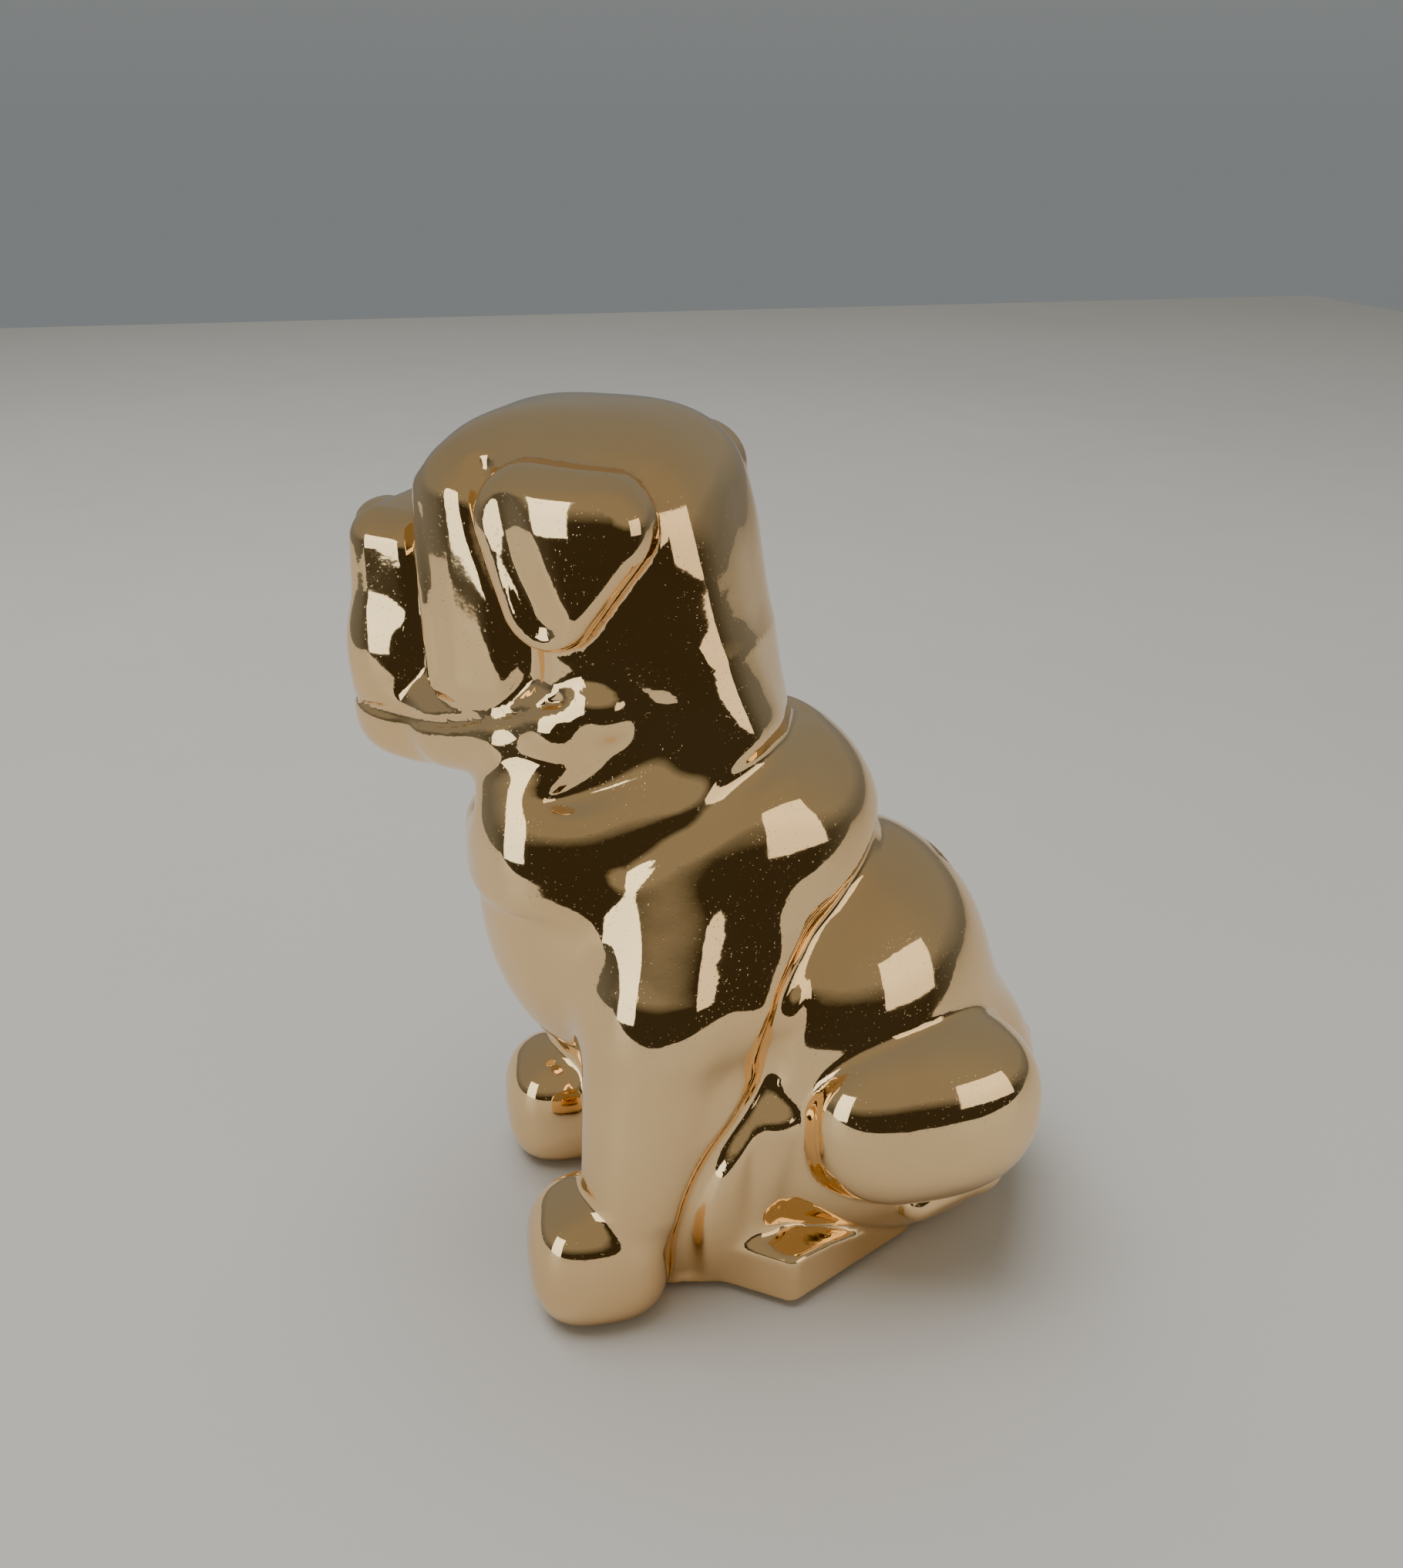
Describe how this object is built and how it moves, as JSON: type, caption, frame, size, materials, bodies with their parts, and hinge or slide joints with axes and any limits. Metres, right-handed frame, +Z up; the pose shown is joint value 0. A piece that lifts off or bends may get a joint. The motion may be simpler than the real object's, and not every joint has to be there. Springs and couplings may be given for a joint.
{
  "type": "figural animal coin bank",
  "caption": "Seated puppy figure that stores coins: they drop in through a slot on its back and come out when the soft stopper in its base is pulled.",
  "frame": {"origin": "on the table, under the middle of the bank's bounding box", "axes": "+Z up, -Y the way the puppy's body faces, +X its left side; the head is turned towards -X"},
  "size_m": [0.084, 0.1346, 0.1687],
  "materials": {
    "gold_plated_ceramic": "mirror-bright pale gold electroplate over glazed earthenware",
    "stopper_rubber": "soft satin off-white",
    "pad_rubber": "matte black"
  },
  "bodies": {
    "body": {"ceramic_body": "gold_plated_ceramic", "foot_pad_front_left": "pad_rubber", "foot_pad_front_right": "pad_rubber", "foot_pad_rear_left": "pad_rubber", "foot_pad_rear_right": "pad_rubber"},
    "stopper": {"stopper": "stopper_rubber"}
  },
  "joints": [
    {"name": "stopper_pull", "type": "slide", "parent": "body", "child": "stopper", "axis": [0, 0, -1], "range_m": [0, 0.04]}
  ]
}
